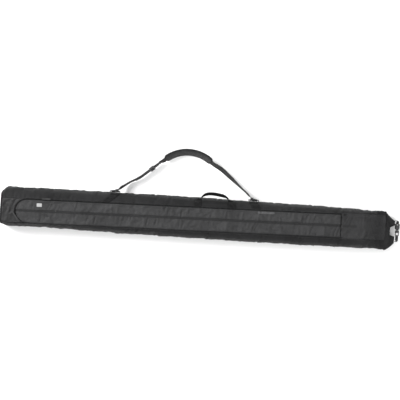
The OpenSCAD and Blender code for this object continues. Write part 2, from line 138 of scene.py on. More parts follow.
def section(x):
    """The bag's cross-section at x, from the lower seam round the back to the upper seam."""
    a, b = lower_width(x), upper_width(x)
    h, z0 = mix(BAG_H, SLIT_TOP, taper(x)), mix(0.0, SLIT_BASE, taper(x))
    d = h - z0
    low, up = seam(HINGE_Y, x), seam(HINGE_Y + PANEL_W, x)
    return [(low - SEAM_GAP, h - 0.9), (mix(low, -a, .55), z0 + .92 * d), (mix(low, -a, .87), z0 + .74 * d),
            (-a, z0 + .45 * d), (-.97 * a, z0 + .2 * d), (-.86 * a, z0 + .05 * d), (-.66 * a, z0),
            (-.33 * a, z0), (0, z0), (.33 * b, z0), (.66 * b, z0),
            (.86 * b, z0 + .05 * d), (.97 * b, z0 + .2 * d), (b, z0 + .45 * d),
            (mix(up, b, .87), z0 + .74 * d), (mix(up, b, .55), z0 + .92 * d), (up + SEAM_GAP, h - 0.9)]


def spline(p0, p1, p2, p3, t):
    return 0.5 * (2 * p1 + (p2 - p0) * t + (2 * p0 - 5 * p1 + 4 * p2 - p3) * t * t
                  + (3 * p1 - p0 - 3 * p2 + p3) * t ** 3)


def on_spline(points, t):
    k = min(int(t), len(points) - 2)
    f = t - k
    ids = [max(k - 1, 0), k, k + 1, min(k + 2, len(points) - 1)]
    return [spline(*[points[i][c] for i in ids], f) for c in range(len(points[0]))]


def shell_yz(x, t):
    """Point of the smooth outer face at x and place t; places 16 to 20 run over the front."""
    if t <= HIGH:
        y, z = on_spline(section(x), t)
        return y, max(z, mix(0.0, SLIT_BASE, taper(x)))
    return front_yz(x, (t - HIGH) / (FRONT_END - HIGH))


def front_yz(x, f):
    """Point of the front at x; f runs from 0 at the upper seam to 1 at the lower one."""
    up, low = seam(HINGE_Y + PANEL_W, x), seam(HINGE_Y, x)
    h = mix(BAG_H, SLIT_TOP, taper(x))
    return mix(up, low, f), h + 1.2 * math.sin(math.pi * clamp(f)) - 60 * max(0.0, -f, f - 1)


def shell_normal(x, t):
    e = 0.05
    lo, hi = (t - e, t + e) if t <= HIGH else (max(HIGH + .001, t - e), min(FRONT_END, t + e))
    lo, hi = max(lo, 0.0), min(hi, HIGH if t <= HIGH else FRONT_END)
    a, b = shell_yz(x, lo), shell_yz(x, hi)
    dy, dz = b[0] - a[0], b[1] - a[1]
    n = math.hypot(dy, dz) or 1.0
    dzx = (shell_yz(x + 2, t)[1] - shell_yz(x - 2, t)[1]) / 4
    v = Vector((-dzx * (1 if dz / n < 0.5 else 0.3), dz / n, -dy / n))
    return v.normalized()


# ---- Cloth simulation of the shell: the cloth is a little longer than its seams, so it puckers ----
# Its points lie close together on the gussets and the front, wide apart on the back
SIM_T = ([LOW + i * .5 for i in range(12)] + [6, 7, 8, 9] + [BACK_HIGH + i * .5 for i in range(12)]
         + [HIGH + i * 4 / 14 for i in range(14)])
SIM_X = [mix(BODY_START, TIP, i / 196) for i in range(197)]
SIM_GROWTH = -0.035
SIM_CAP = 6.0                          # longest displacement kept
SIM_FRAMES = 22


def seam_frame(x, y):
    """The seams run along this frame's first axis; the bag lies a little askew."""
    return (x * math.cos(TILT) + y * math.sin(TILT), y * math.cos(TILT) - x * math.sin(TILT))


def bag_frame(x, y):
    return (x * math.cos(TILT) - y * math.sin(TILT), x * math.sin(TILT) + y * math.cos(TILT))


def pinned(x, t):
    """How firmly the coarse shell is held at x and place t."""
    if min(abs(t - p) for p in (LOW, BACK_LOW, BACK_HIGH, HIGH, FRONT_END)) < 0.1:
        return 1.0
    if x < BODY_START + 4 or x > TIP - 4 or BACK_LOW < t < BACK_HIGH:
        return 1.0
    if t > HIGH:
        sx, sy = seam_frame(x, shell_yz(x, t)[0])
        if abs(sy - STRIP_Y) < STRIP_W / 2 + 1:
            return 0.6
        if sx < FLAP_START and abs(math.hypot(sx - FLAP_START, sy - FLAP_Y) - FLAP_R) < 5:
            return 1.0
    return 0.0


def simulate():
    """Displacement in mm of each point of the coarse shell, by [column][row]."""
    rows, columns = len(SIM_T), len(SIM_X)
    verts, start = [], []
    for x in SIM_X:
        for t in SIM_T:
            y, z = shell_yz(x, t)
            n = shell_normal(x, t)
            jog = 0.5 * noise.noise(Vector((x / 14, t * 1.3, 4)))
            start.append(Vector((x, y, z)))
            verts.append((Vector((x, y, z)) + n * jog * (1 - pinned(x, t))) * MM)
    me = bpy.data.meshes.new("shell_sim")
    me.from_pydata(verts, [], ring_faces(columns, rows, caps=False))
    ob = add_object("shell_sim", me)
    group = ob.vertex_groups.new(name="pins")
    for i, x in enumerate(SIM_X):
        for k, t in enumerate(SIM_T):
            w = pinned(x, t)
            if w > 0:
                group.add([i * rows + k], w, "REPLACE")
    cloth = ob.modifiers.new("Cloth", "CLOTH")
    settings = {"quality": 6, "mass": 0.3, "tension_stiffness": 30, "compression_stiffness": 30,
                "shear_stiffness": 8, "bending_stiffness": 0.6, "air_damping": 4, "use_pressure": True,
                "uniform_pressure_force": 1.2, "shrink_min": SIM_GROWTH, "vertex_group_mass": "pins"}
    for key, value in settings.items():
        setattr(cloth.settings, key, value)
    cloth.settings.effector_weights.gravity = 0.25
    cloth.collision_settings.use_collision = False
    cloth.point_cache.frame_start = 1
    cloth.point_cache.frame_end = SIM_FRAMES
    scene = bpy.context.scene
    for f in range(1, SIM_FRAMES + 1):
        scene.frame_set(f)
    dg = bpy.context.evaluated_depsgraph_get()
    moved = [v.co / MM for v in ob.evaluated_get(dg).to_mesh().vertices]
    out = []
    for i in range(columns):
        row = []
        for k in range(rows):
            d = moved[i * rows + k] - start[i * rows + k]
            row.append(d if d.length < SIM_CAP else d * (SIM_CAP / d.length))
        out.append(row)
    scene.frame_set(1)
    bpy.data.objects.remove(ob)
    return out


SIM = simulate()
SIM_END = SIM_T + [20.0]


def simulated(x, t):
    """The simulated displacement at any place of the shell."""
    u = clamp((x - SIM_X[0]) / (SIM_X[-1] - SIM_X[0])) * (len(SIM_X) - 1)
    i = min(int(u), len(SIM_X) - 2)
    k = max(j for j in range(len(SIM_END) - 1) if SIM_END[j] <= t + 1e-9)
    f = clamp((t - SIM_END[k]) / (SIM_END[k + 1] - SIM_END[k]))
    k2 = (k + 1) % len(SIM_T)
    a, b = SIM[i], SIM[i + 1]
    return mix(mix(a[k], a[k2], f), mix(b[k], b[k2], f), u - i)


def ridged(v):
    """Noise with sharp crests."""
    return 1 - abs(noise.noise(v)) * 2


def wrinkle(x, across, edge, amount=1.0):
    """Height of the cloth's creases in mm, edge mm from the nearest seam; across runs over the panel."""
    slant = x + 0.25 * across + 9 * noise.noise(Vector((x / 90, across / 50, 3)))
    tight = noise.noise(Vector((slant / 16, across / 95, 1.5)))
    wide = ridged(Vector((slant / 44, across / 120, 7.5)))
    swell = noise.noise(Vector((x / 170, across / 70, 5)))
    fold = max(0.0, ridged(Vector((x / 75, across / 42, 11))) - 0.72) * 4
    near = math.exp(-edge / 13)
    ends = ease(min(edge / 6, 1))
    bent = slant + 5 * noise.noise(Vector((x / 30, across / 24, 17)))
    line = noise.noise(Vector((bent / 21, across / 210, 13.5)))
    strength = clamp(2.6 * noise.noise(Vector((x / 60, across / 36, 19))) + 0.25)
    crease = max(0.0, 1 - abs(line) * 5.5) * strength
    beside = max(0.0, 1 - abs(line - 0.18) * 6) * strength
    soft = 1.3 * tight * (0.45 + near) + 1.1 * (wide - 0.5) * (1 - 0.4 * near) + 1.1 * swell
    soft -= 0.9 * fold * (0.4 + 0.6 * (tight > 0))
    return amount * ends * (soft - 4.2 * crease + 2.3 * beside)


# Middle and half size, in the seam frame, of each place where the cloth lies flat under a hard piece
CALM = [(-716, 51, 34, 9), (-836, -54, 26, 22), (-744.5, 25, 20, 14)]
CALM_Z = BAG_H - 0.4


def calm(x, y):
    sx, sy = seam_frame(x, y)
    return max(ease(1.8 - max(abs(sx - cx) / w, abs(sy - cy) / h)) for cx, cy, w, h in CALM)


@lru_cache(maxsize=None)
def surface(x, t, edge, amount):
    """A point of the finished shell's outer face in mm, and its outward normal."""
    over = t > HIGH or t < 0
    y, z = front_yz(x, (t - HIGH) / (FRONT_END - HIGH)) if over else shell_yz(x, t)
    n = shell_normal(x, clamp(t, 0, FRONT_END))
    across = t * PLACE_MM
    tip_fold = 0.0
    if x > 700:
        pull = ease((x - 700) / 110)
        fan = across * (1 - 0.35 * pull)
        tip_fold = noise.noise(Vector((x / 120, fan / 11, 21))) + 0.5 * ridged(Vector((x / 90, fan / 16, 22)))
        tip_fold *= pull * 3.6
        tip_fold *= (0.35 + 0.65 * ease((TIP + 8 - x) / 30)) * ease(min(edge / 5, 1))
    back = BACK_LOW <= t <= BACK_HIGH
    lift = wrinkle(x, across, edge, amount * (0.15 if back else 1)) + (0 if back else tip_fold)
    if z < 8:
        lift = max(-0.4, min(lift, 0.2)) if back else lift * ease(z / 8)
    p = Vector((x, y, z)) + n * lift + simulated(x, clamp(t, 0, FRONT_END)) * (0 if back else 0.8)
    if z > BAG_H - 6 and x < -680:
        p.z = mix(p.z, min(p.z, CALM_Z), calm(x, y))
    if x > 800:
        p.x += 3.5 * ease((x - 800) / 40) * noise.noise(Vector((t * 1.4, 3, 71)))
    return p, n


def place(x, t, depth=0.0, edge=20.0, amount=1.0):
    """A point of the finished shell in metres, depth mm below its outer face."""
    p, n = surface(x, t, edge, amount)
    p = p - n * depth
    p.z = max(p.z, 0.05 + depth)
    return p * MM


# ---- Materials ----

def node(tree, kind, **values):
    n = tree.nodes.new(kind)
    for key, value in values.items():
        if key.startswith("in_"):
            n.inputs[key[3:].replace("_", " ")].default_value = value
        else:
            setattr(n, key, value)
    return n


def math_node(tree, op, a, b=0.0, c=None):
    n = tree.nodes.new("ShaderNodeMath")
    n.operation = op
    for i, v in enumerate((a, b) if c is None else (a, b, c)):
        if isinstance(v, (int, float)):
            n.inputs[i].default_value = v
        else:
            tree.links.new(v, n.inputs[i])
    return n.outputs[0]


def material(name, dark, light, rough=(0.6, 0.8), weave=0.0, rib=0.0, sheen=0.0, bump=0.5, grain=0.0,
             use_uv=True, wear=0.0, spec=0.4, coat=0.0, slub=0.35):
    """A woven, moulded or printed surface in two tones; weave and rib are the pitch of its threads."""
    mat = bpy.data.materials.new(name)
    mat.use_nodes = True
    tree = mat.node_tree
    tree.nodes.clear()
    link = tree.links.new

    def calc(operation, *values):
        return math_node(tree, operation, *values)

    def waves(value, k):
        return calc("SINE", calc("MULTIPLY", value, k))

    out = node(tree, "ShaderNodeOutputMaterial")
    bsdf = node(tree, "ShaderNodeBsdfPrincipled", in_Specular_IOR_Level=spec, in_Sheen_Weight=sheen,
                in_Sheen_Roughness=0.45, in_Coat_Weight=coat)
    link(bsdf.outputs[0], out.inputs[0])
    where = node(tree, "ShaderNodeTexCoord")
    solid = where.outputs["Object"]
    flat = where.outputs["UV"] if use_uv else solid
    cloud = node(tree, "ShaderNodeTexNoise", in_Scale=9.0, in_Detail=5.0, in_Roughness=0.6)
    speck = node(tree, "ShaderNodeTexNoise", in_Scale=620.0, in_Detail=2.0)
    patches = node(tree, "ShaderNodeTexNoise", in_Scale=55.0, in_Detail=3.0)
    for n in (cloud, speck, patches):
        link(solid, n.inputs["Vector"])
    tone = calc("MULTIPLY_ADD", cloud.outputs[0], 0.9, -0.2)
    tone = calc("MULTIPLY_ADD", speck.outputs[0], slub, tone)
    tone = calc("MULTIPLY_ADD", patches.outputs[0], 0.35, calc("SUBTRACT", tone, 0.1))
    height = speck.outputs[0]
    if weave or rib:
        axes = node(tree, "ShaderNodeSeparateXYZ")
        link(flat, axes.inputs[0])
        along, across = axes.outputs[0], axes.outputs[1]
        k = 2 * math.pi / (weave or rib)
        if weave:
            thread = calc("MULTIPLY", waves(along, k), waves(across, k))
        else:
            zig = calc("ABSOLUTE", waves(across, k / 5))
            run = calc("MULTIPLY_ADD", zig, 1.6, calc("MULTIPLY", along, k))
            thread = calc("MULTIPLY_ADD", waves(across, k), 0.5, calc("SINE", run))
        height = calc("MULTIPLY_ADD", thread, 0.7, speck.outputs[0])
        tone = calc("MULTIPLY_ADD", thread, 0.10, tone)
    if grain:
        pits = node(tree, "ShaderNodeTexVoronoi", in_Scale=grain)
        link(solid, pits.inputs["Vector"])
        height = calc("MULTIPLY_ADD", pits.outputs[0], 0.6, height)
    if wear:
        edge = node(tree, "ShaderNodeNewGeometry")
        worn = node(tree, "ShaderNodeMapRange", clamp=True, in_From_Min=0.52, in_From_Max=0.62,
                    in_To_Max=wear)
        link(edge.outputs["Pointiness"], worn.inputs["Value"])
        tone = calc("ADD", tone, worn.outputs[0])
    ramp = node(tree, "ShaderNodeMix", data_type="RGBA", clamp_factor=True)
    ramp.inputs[6].default_value = (*dark, 1)
    ramp.inputs[7].default_value = (*light, 1)
    link(tone, ramp.inputs[0])
    link(ramp.outputs[2], bsdf.inputs["Base Color"])
    shine = node(tree, "ShaderNodeMapRange", clamp=True, in_To_Min=rough[0], in_To_Max=rough[1])
    link(patches.outputs[0], shine.inputs["Value"])
    link(shine.outputs[0], bsdf.inputs["Roughness"])
    relief = node(tree, "ShaderNodeBump", in_Strength=bump, in_Distance=0.0004)
    link(height, relief.inputs["Height"])
    link(relief.outputs[0], bsdf.inputs["Normal"])
    return mat


def grey(v, blue=1.03):
    return (v, v, v * blue)


M = {
    "front": material("front_cloth", grey(.009), grey(.036), (.50, .68), weave=.0011, sheen=.02, spec=.22),
    # The gusset cloth is the front's cloth painted about half as light: painted shade for the gussets, which
    # slope away from the light.
    "gusset": material("gusset_cloth_painted_shade", grey(.005), grey(.020), (.58, .75), weave=.0011, sheen=.02, spec=.10),
    "back": material("back_cloth", grey(.008), grey(.022), (.55, .7), weave=.0016, sheen=.02, bump=.7,
                     spec=.15),
    "tail": material("tail_cloth", grey(.005), grey(.022), (.42, .6), weave=.0013, sheen=.02, spec=.22),
    # The roll's cloth is the shell's cloth painted darker still: painted shade for the folds of the rolled
    # mouth.
    "roll": material("roll_cloth_painted_shade", grey(.003), grey(.016), (.45, .65), weave=.0011, sheen=.02, spec=.15),
    "webbing": material("webbing", grey(.004), grey(.014), (.5, .7), rib=.0016, sheen=.04, bump=.9, slub=.2,
                        spec=.2),
    # The tabs' and the handle's webbing is the strap's webbing painted darker: partly a darker webbing and
    # partly painted shade of the sloping gusset where the tabs lie.
    "tab": material("dark_webbing_and_painted_shade", grey(.0015), grey(.0065), (.55, .75), rib=.0016, sheen=.02, bump=.9,
                    slub=.2, spec=.12),
    # The tip's cloth is the front's cloth painted darker: painted shade for the folds where the tip slopes
    # down to the roll.
    "tip": material("tip_cloth_painted_shade", grey(.006), grey(.028), (.50, .68), weave=.0011, sheen=.02, spec=.20),
    "tape": material("binding_tape", grey(.005), grey(.016), (.6, .8), rib=.0012, bump=.7, slub=.2, spec=.15),
    "strip": material("strip_tape", grey(.008), grey(.026), (.6, .8), rib=.0014, bump=.7, slub=.2, spec=.18),
    "lining": material("lining_cloth", grey(.045), grey(.10), (.5, .7), weave=.0009, sheen=.05, bump=.4,
                       spec=.25),
    "pad": material("pad_cloth", grey(.007), grey(.030), (.6, .8), weave=.0024, sheen=.08, bump=.9, spec=.2),
    "thread": material("thread", grey(.022), grey(.060), (.5, .7), bump=.4, use_uv=False, spec=.2),
    "dark_thread": material("dark_thread", grey(.008), grey(.025), (.5, .7), bump=.4, use_uv=False, spec=.2),
    "plastic": material("moulded_plastic", grey(.004), grey(.014), (.32, .5), bump=.25, grain=900,
                        use_uv=False, wear=.6, slub=.15),
    "coil": material("zip_coil", grey(.003), grey(.014), (.3, .45), bump=.2, use_uv=False, spec=.35),
    "metal": material("slider_enamel", grey(.003), grey(.012), (.32, .5), bump=.15, use_uv=False, wear=.9,
                      spec=.45, coat=.3),
    "badge": material("badge_rubber", grey(.24, 1.0), grey(.34, 1.0), (.4, .55), bump=.2, grain=700,
                      use_uv=False),
    "label": material("label_weave", grey(.035), grey(.08), (.6, .8), weave=.0008, spec=.25),
}


# ---- Mesh building ----

def make(name, verts, faces, mat, uvs=None, smooth=True):
    me = bpy.data.meshes.new(name)
    me.from_pydata([tuple(v) for v in verts], [], faces)
    if uvs:
        layer = me.uv_layers.new(name="UVMap")
        for loop in me.loops:
            layer.data[loop.index].uv = uvs[loop.vertex_index]
    me.polygons.foreach_set("use_smooth", [smooth] * len(me.polygons))
    me.materials.append(M[mat])
    return add_object(name, me)


def finish_piece(ob, body, replaces=()):
    """Tie a piece to its body; one for FLAP_BEND (the flap where its cloth bends back into the bag) is only
    baked in place.
    """
    if body == FLAP_BEND:
        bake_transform(ob)
    else:
        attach(ob, body)
    if replaces:
        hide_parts(*replaces)
    return ob


def closed_sheet(name, nu, nv, at, levels, mat, uv):
    """A cloth panel with thickness: at(i, j, level) gives its two faces on a grid, at two levels."""
    top, low = [[at(i, j, level) for i in range(nu) for j in range(nv)] for level in levels]
    n = nu * nv
    faces = []
    for i in range(nu - 1):
        for j in range(nv - 1):
            a, b, c, d = i * nv + j, i * nv + j + 1, (i + 1) * nv + j + 1, (i + 1) * nv + j
            faces.append((a, b, c, d))
            faces.append((n + d, n + c, n + b, n + a))
    rim = ([(i, 0) for i in range(nu)] + [(nu - 1, j) for j in range(1, nv)]
           + [(i, nv - 1) for i in range(nu - 2, -1, -1)] + [(0, j) for j in range(nv - 2, 0, -1)])
    for k, (i, j) in enumerate(rim):
        i2, j2 = rim[(k + 1) % len(rim)]
        a, b = i * nv + j, i2 * nv + j2
        faces.append((a, b, n + b, n + a))
    flat = [uv(i, j) for i in range(nu) for j in range(nv)]
    ob = make(name, top + low, faces, mat, flat + flat)
    fix_normals(ob)
    return ob


def fix_normals(ob):
    bm = bmesh.new()
    bm.from_mesh(ob.data)
    bmesh.ops.remove_doubles(bm, verts=bm.verts, dist=1e-7)
    bmesh.ops.recalc_face_normals(bm, faces=bm.faces)
    bm.to_mesh(ob.data)
    bm.free()


def frames_along(points):
    """Tangents of a route."""
    n = len(points)
    return [(points[min(i + 1, n - 1)] - points[max(i - 1, 0)]).normalized() for i in range(n)]


def swept(name, points, wides, half_w, half_t, mat, ring=12, square=0.35, bulge=None):
    """A flat band or cord along points (metres): wides give the width direction at each, in any length."""
    tangents = frames_along(points)
    verts, uvs = [], []
    run = 0.0
    for i, p in enumerate(points):
        if i:
            run += (points[i] - points[i - 1]).length
        w = (wides[i] - tangents[i] * wides[i].dot(tangents[i])).normalized()
        k = tangents[i].cross(w)
        hw = half_w(i) if callable(half_w) else half_w
        ht = half_t(i) if callable(half_t) else half_t
        for j in range(ring):
            a = 2 * math.pi * (j + 0.5) / ring
            c, s = math.cos(a), math.sin(a)
            cw = math.copysign(abs(c) ** square, c)
            ck = math.copysign(abs(s) ** square, s)
            lift = bulge(i, cw, ck) if bulge else 1.0
            verts.append(p + w * (hw * cw) + k * (ht * ck * lift))
            uvs.append((run, hw * cw))
    ob = make(name, verts, ring_faces(len(points), ring), mat, uvs)
    fix_normals(ob)
    return ob


def tube(name, points, radius, mat, ring=8, wobble=0.0):
    """A round bead; wobble is how uneven it is."""
    ups = [UP if abs(t.z) < 0.9 else Vector((1, 0, 0)) for t in frames_along(points)]

    def half(i):
        return radius * (1 + wobble * noise.noise(points[i] * 60))

    return swept(name, points, ups, half, half, mat, ring, square=1.0)


def stitches(name, routes, mat, body, pitch=4.2, length=2.9, radius=0.42):
    """Rows of raised stitches along routes of (point, normal) in metres; the other lengths are in mm."""
    verts, faces = [], []
    for route in routes:
        run = [0.0]
        for a, b in zip(route, route[1:]):
            run.append(run[-1] + (b[0] - a[0]).length)
        k, s = 0, 0.5 * pitch * MM
        while s + length * MM < run[-1]:
            ends = []
            for d in (s, s + length * MM):
                while k < len(run) - 2 and run[k + 1] < d:
                    k += 1
                f = (d - run[k]) / max(run[k + 1] - run[k], 1e-9)
                (p0, n0), (p1, n1) = route[k], route[k + 1]
                ends.append((mix(p0, p1, f), mix(n0, n1, f).normalized()))
            (p, n), (q, _) = ends
            t = (q - p).normalized()
            w = n.cross(t).normalized()
            faces += ring_faces(4, 5, len(verts))
            r = radius * MM
            for f, size, lift in ((0, .35, -.25), (.25, 1, .55), (.75, 1, .55), (1, .35, -.25)):
                c = mix(p, q, f) + n * (lift * r)
                for a in range(5):
                    ang = 2 * math.pi * a / 5
                    verts.append(c + w * (r * size * math.cos(ang)) + n * (r * size * math.sin(ang)))
            s += pitch * MM
    # under the bag the thread is pressed flat against the floor
    for v in verts:
        v.z = max(v.z, 0.0)
    finish_piece(make(name, verts, faces, mat), body)


# ---- Long panels of the bag ----
COLUMNS = span(BODY_START, TIP + 5, 4.5)
PIPING_R = 0.0016                      # in metres; the bead of the flap's and the tail's seams is thicker
BEAD_R = 0.0019


def long_panel(name, t0, t1, rows, mat, node_name, fold=True):
    """A panel from place t0 to t1 over the bag's whole length; fold turns its edges in at the seams."""
    ts = [mix(t0, t1, j / (rows - 1)) for j in range(rows)]

    def at(i, j, depth):
        e = min(ts[j] - t0, t1 - ts[j]) * PLACE_MM
        tuck = 1.1 * (1 - ease(e / 3.0)) if fold else 0
        return place(COLUMNS[i], ts[j], depth + tuck, e)

    ob = closed_sheet(name, len(COLUMNS), rows, at, (0, FABRIC_T), mat,
                      lambda i, j: (COLUMNS[i] * MM, ts[j] * PLACE_MM * MM))
    return finish_piece(ob, "bag", (node_name,))


# the gussets wear the darker cloth, with its painted shade
long_panel("gusset_lower_cloth", LOW, BACK_LOW, 38, "gusset", "lower_gusset")
long_panel("gusset_upper_cloth", BACK_HIGH, HIGH, 38, "gusset", "upper_gusset")
long_panel("back_cloth", BACK_LOW + .02, BACK_HIGH - .02, 18, "back", "back_panel",
           fold=False)


def shell_route(t):
    """A row of stitches along the bag at place t, just above the cloth."""
    return [(place(x, t, -0.3, 3.0), shell_normal(x, t)) for x in span(BODY_START + 4, TIP - 8, 6)]


stitches("gusset_stitches", [shell_route(t) for t in (LOW + .14, LOW + .3, HIGH - .14, HIGH - .3)], "thread",
         "bag")
stitches("back_stitches", [shell_route(BACK_LOW - .16), shell_route(BACK_HIGH + .16)], "dark_thread", "bag")
for side, t in (("lower", BACK_LOW), ("upper", BACK_HIGH)):
    points = [place(x, t, -0.2, 0) + UP * PIPING_R for x in span(BODY_START + 2, TIP - 4, 9)]
    finish_piece(tube("back_piping_" + side, points, PIPING_R, "tape"), "bag")


# ---- Front: tail panel, tip panel and flap, as heights over the seam plane ----

def front(sx, sy, depth=0.0, edge=20.0, amount=1.0, extra=0.0):
    """A point of the front at (sx, sy) in the seam frame, in metres, raised by extra mm."""
    x, y = bag_frame(sx, sy)
    up, low = seam(HINGE_Y + PANEL_W, x), seam(HINGE_Y, x)
    t = HIGH + clamp((up - y) / (up - low)) * (FRONT_END - HIGH)
    p = place(x, t, depth - extra, edge, amount)
    p.y += (y - shell_yz(x, t)[0]) * MM
    return p


def d_edge(sx, r):
    """Half width of the D outline of radius r at sx."""
    if sx >= FLAP_START:
        return r
    return math.sqrt(max(0.0, r * r - (sx - FLAP_START) ** 2))


def d_distance(sx, sy, r):
    """Distance inside the D outline."""
    if sx < FLAP_START:
        return r - math.hypot(sx - FLAP_START, sy - FLAP_Y)
    return r - abs(sy - FLAP_Y)


def fold_reach(sx):
    """The flap's cloth runs on to the fold line past the D's lower end."""
    return 2.2 * ease((sx - FLAP_START) / 14)


def flap_band(name, low, high, rows, mat, cad, depth=0.0, r=FLAP_R - SEAM_GAP + .4, lips=True,
              thick=FABRIC_T):
    """The part of the flap between the lines low and high, cut to the D outline of radius r."""
    # it starts where its own edge leaves the outline
    mid = mix(low, high, .5)
    near = min(abs(low - FLAP_Y), abs(high - FLAP_Y)) if (low - FLAP_Y) * (high - FLAP_Y) > 0 else 0.0
    reach = math.sqrt(r * r - near * near)
    start = FLAP_START - reach
    xs = [start + (FLAP_START - start) * (1 - math.cos(math.pi / 2 * i / 24)) for i in range(24)]
    xs = xs + span(FLAP_START, FLAP_END, 3.6 if lips else 8)

    def at(i, j, d):
        sx = xs[i]
        e = d_edge(sx, r)
        lo, hi = max(low, FLAP_Y - e - fold_reach(sx)), min(high, FLAP_Y + e)
        if hi < lo:
            lo = hi = mid
        sy = mix(lo, hi, j / (rows - 1))
        rim = max(0.0, min(d_distance(sx, sy, r), FLAP_END - sx + 8))
        lip = min(sy - low, high - sy) if lips else 0
        inside = max(0.0, min(rim, lip))
        swell = 0.9 * ease(min(inside, 16) / 16) if lips else 0
        tuck = 1.2 * (1 - ease(inside / 2.6)) if lips else 0
        return front(sx, sy, d + depth + tuck, min(rim, lip + 3), 1.0, swell)

    ob = closed_sheet(name, len(xs), rows, at, (0, thick), mat,
                      lambda i, j: (xs[i] * MM, mix(low, high, j / (rows - 1)) * MM))
    finish_piece(ob, FLAP_BEND, (cad,))


flap_band("flap_upper_cloth", STRIP_Y + STRIP_W / 2 - 1, FLAP_Y + FLAP_R - SEAM_GAP + .4, 22, "front",
          "flap_upper_band")
flap_band("flap_lower_cloth", HINGE_Y + .2, STRIP_Y - STRIP_W / 2 + 1, 22, "front",
          "flap_lower_band")
flap_band("flap_strip_tape", STRIP_Y - STRIP_W / 2 - 2, STRIP_Y + STRIP_W / 2 + 2, 7, "strip",
          "flap_strip", depth=1.5, r=FLAP_R - 5, lips=False, thick=0.8)


def d_line(r):
    """A line inside the D outline at radius r: along the top, round the end, and back along the bottom."""
    straight = span(FLAP_START, FLAP_END - 3, 6)
    turns = [mix(math.pi / 2, math.pi * 1.5, i / 30) for i in range(1, 30)]
    round_end = [(FLAP_START + r * math.cos(a), FLAP_Y + r * math.sin(a)) for a in turns]
    return [(sx, FLAP_Y + r) for sx in reversed(straight)] + round_end + [(sx, FLAP_Y - r) for sx in straight]


def flap_stitches():
    beside_strip = [[(sx, STRIP_Y + s * (STRIP_W / 2 + 1.2)) for sx in span(FLAP_START - 44, FLAP_END - 3, 6)]
                    for s in (-1, 1)]
    lines = [d_line(FLAP_R - 6.0), d_line(FLAP_R - 8.6)] + beside_strip
    routes = [[(front(sx, sy, -.35, 3.0), UP) for sx, sy in line] for line in lines]
    stitches("flap_stitches", routes, "thread", FLAP_BEND)


flap_stitches()


def tail_front():
    """The cloth between the D's zip and the tail end; past the zip it closes up to the flap."""
    rows, cols = 44, 26
    bottom = FLAP_Y - FLAP_R - SEAM_GAP + .4
    r = FLAP_R + SEAM_GAP - .4
    reach = 60                         # about its length in mm

    def at(i, j, d):
        a = math.pi / 2 + math.pi * j / (rows - 1)
        past_zip = ease((a - ZIP_LAST) / 0.12)
        near = mix(r, FLAP_R - 1.9, past_zip)
        arc_x, arc_y = FLAP_START - 2 * (1 - past_zip) + near * math.cos(a), FLAP_Y + near * math.sin(a)
        end_x = BODY_START + 1.5
        end_y = mix(FLAP_Y + FLAP_R + 2.6, bottom, j / (rows - 1))
        f = i / (cols - 1)
        sx, sy = mix(arc_x, end_x, f), mix(arc_y, end_y, f)
        rim = min(f * reach, (1 - f) * reach, FLAP_Y + FLAP_R + 3 - sy, sy - bottom)
        tuck = 1.2 * (1 - ease(f * reach / 2.6))
        crease = 2.4 * noise.noise(Vector((sx / 26, sy / 40, 31))) * ease(rim / 8)
        p = front(sx, sy, d + tuck, max(rim, 0), 1.6, crease)
        # the corner slider passes over the first stretch
        if f * reach < 10:
            p.z = min(p.z, (BAG_H - 0.2 - max(d, 0)) * MM)
        return p

    ob = closed_sheet("tail_front_cloth", cols, rows, at, (0, FABRIC_T), "tail",
                      lambda i, j: (i * 2.4 * MM, j * 2.6 * MM))
    finish_piece(ob, "bag", ("tail_panel",))
    routes = [[(at(i, j, -.4), UP) for j in range(1, rows - 1)] for i in (4.1, 5.2)]
    stitches("tail_front_stitches", routes, "thread", "bag")


tail_front()


